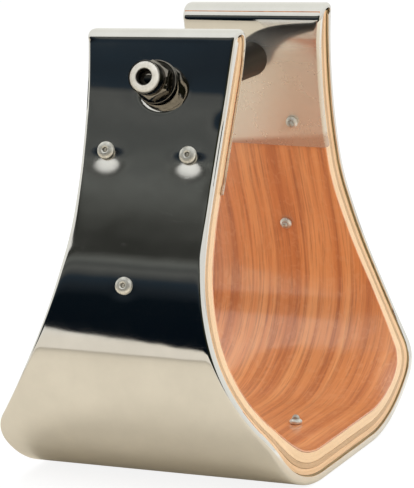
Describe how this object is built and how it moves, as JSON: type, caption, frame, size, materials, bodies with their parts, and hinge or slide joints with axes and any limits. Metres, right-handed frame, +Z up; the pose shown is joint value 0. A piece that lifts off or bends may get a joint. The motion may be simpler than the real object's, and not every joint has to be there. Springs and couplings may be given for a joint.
{
  "type": "bell stirrup",
  "caption": "Bell-shaped riding stirrup of bent laminated wood in a polished metal cover, with a roller on its hanger bolt.",
  "frame": {"origin": "middle of the tread's underside", "axes": "+Z up, X across between the two legs with the lock nut on -X, Y along the tread's depth, the way the boot goes through"},
  "size_m": [0.1826, 0.1092, 0.1673],
  "materials": {
    "polished_sheet": "mirror polished stainless sheet with fine scratches",
    "red_veneer": "reddish varnished veneer, glossy",
    "cream_wood": "pale sawn ply edge, varnished",
    "tan_wood": "darker cross-grain ply edge, varnished",
    "peach_wood": "pinkish sawn ply edge, varnished",
    "plated_steel": "bright zinc-plated steel",
    "white_nylon": "natural nylon",
    "black_plastic": "black, smooth and glossy",
    "rivet_metal": "bright aluminium"
  },
  "bodies": {
    "bow": {"face_veneer": "red_veneer", "inner_core_ply": "cream_wood", "cross_ply": "tan_wood", "outer_core_ply": "peach_wood", "backing_ply": "tan_wood", "metal_cover": "polished_sheet", "hanger_bolt": "plated_steel", "left_washer": "plated_steel", "right_washer": "plated_steel", "lock_nut": "plated_steel", "lock_nut_ring": "white_nylon", "left_front_rivet": "rivet_metal", "left_rear_rivet": "rivet_metal", "left_lower_rivet": "rivet_metal", "right_front_rivet": "rivet_metal", "right_rear_rivet": "rivet_metal", "right_lower_rivet": "rivet_metal", "tread_front_rivet": "rivet_metal", "tread_rear_rivet": "rivet_metal", "left_front_rivet_mandrel": "plated_steel", "left_rear_rivet_mandrel": "plated_steel", "left_lower_rivet_mandrel": "plated_steel", "right_front_rivet_mandrel": "plated_steel", "right_rear_rivet_mandrel": "plated_steel", "right_lower_rivet_mandrel": "plated_steel", "tread_front_rivet_mandrel": "plated_steel", "tread_rear_rivet_mandrel": "plated_steel"},
    "roller": {"strap_roller": "black_plastic"}
  },
  "joints": [
    {"name": "roller_spin", "type": "hinge", "parent": "bow", "child": "roller", "pos_m": [0, 0, 0.14631], "axis": [1, 0, 0], "continuous": true}
  ]
}
